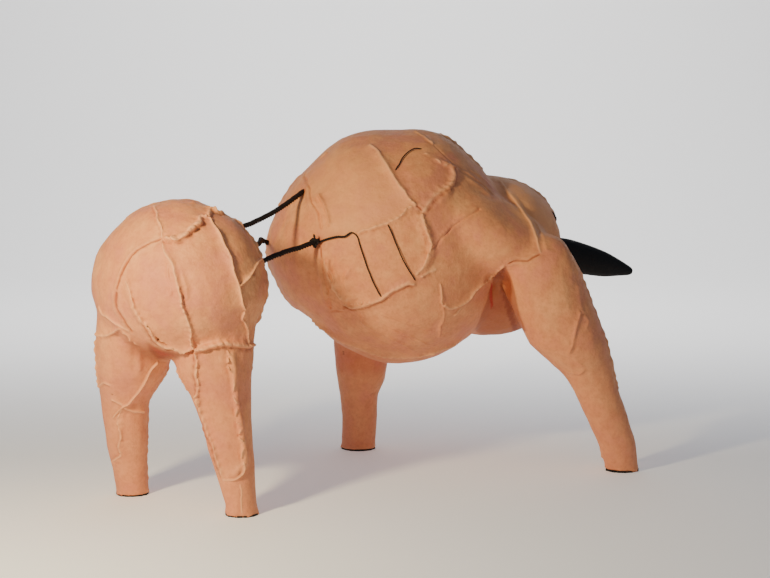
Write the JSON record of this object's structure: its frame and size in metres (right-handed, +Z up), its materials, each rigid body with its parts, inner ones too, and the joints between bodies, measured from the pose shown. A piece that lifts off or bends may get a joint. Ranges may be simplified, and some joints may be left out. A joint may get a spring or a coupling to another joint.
{
  "type": "abstract animal sculpture",
  "caption": "Abstract animal sculpture: a leather dome and a leather ball with a rump, each on tapered legs, laced together with black cords, with stitched seams and a pointed black tail.",
  "frame": {"origin": "centre of the bounding box, on the surface that the feet stand on", "axes": "+X towards the tail, +Z up, -Y towards the side that the picture is taken from"},
  "size_m": [0.6472, 0.4905, 0.4188],
  "materials": {
    "skin": "matt undyed leather, pinched and whip-stitched seams",
    "black_leather": "matt black leather",
    "black_cord": "waxed twisted black cord"
  },
  "bodies": {
    "root": {"dome_body": "skin", "ball_body": "skin", "sole_left": "black_leather", "sole_right": "black_leather", "sole_far": "black_leather", "sole_hind": "black_leather", "tail": "black_leather", "cord_upper": "black_cord", "cord_middle": "black_cord", "cord_lower": "black_cord", "knot": "black_cord", "lace": "black_cord", "stitch_right": "black_cord", "stitch_top": "black_cord", "stitch_rump": "black_cord"}
  },
  "joints": []
}
